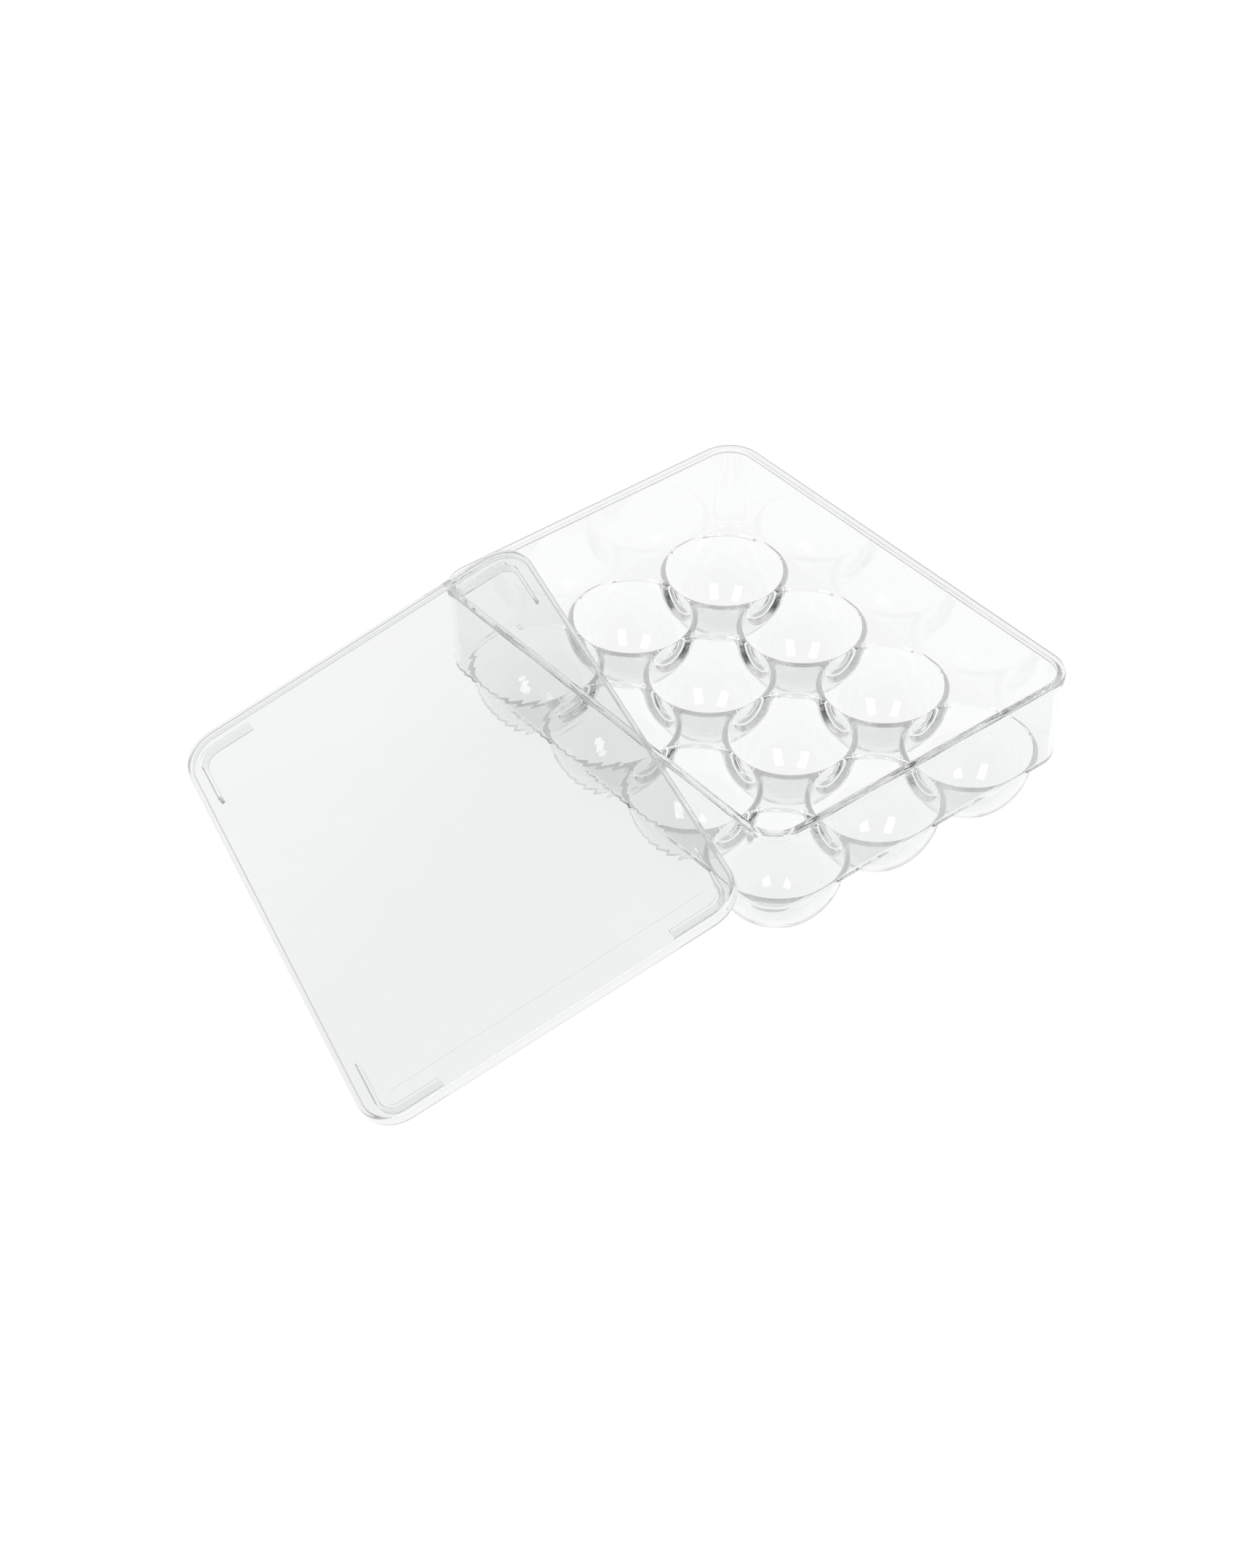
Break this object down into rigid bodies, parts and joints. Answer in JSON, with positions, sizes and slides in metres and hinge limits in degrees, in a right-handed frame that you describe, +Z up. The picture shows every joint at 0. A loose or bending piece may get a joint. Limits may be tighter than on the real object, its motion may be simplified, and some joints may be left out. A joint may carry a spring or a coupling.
{
  "type": "egg keeper with lid",
  "caption": "Clear plastic egg keeper: a tray with a block of round bowls, and its loose lid taken off and leaning on the front rim.",
  "frame": {"origin": "on the table, under the middle of the box round the tray and the leaning lid together", "axes": "+X along the tray's long side, +Y from the leaning lid to the back of the tray, +Z up"},
  "size_m": [0.2376, 0.3184, 0.0873],
  "materials": {
    "clear_tray": "clear, polished",
    "clear_lid": "clear, polished"
  },
  "bodies": {
    "tray": {"tray": "clear_tray"},
    "lid": {"lid": "clear_lid"}
  },
  "joints": [
    {"name": "lid_lift", "type": "slide", "parent": "tray", "child": "lid", "axis": [0, 0, 1], "range_m": [0, 0.1]}
  ]
}
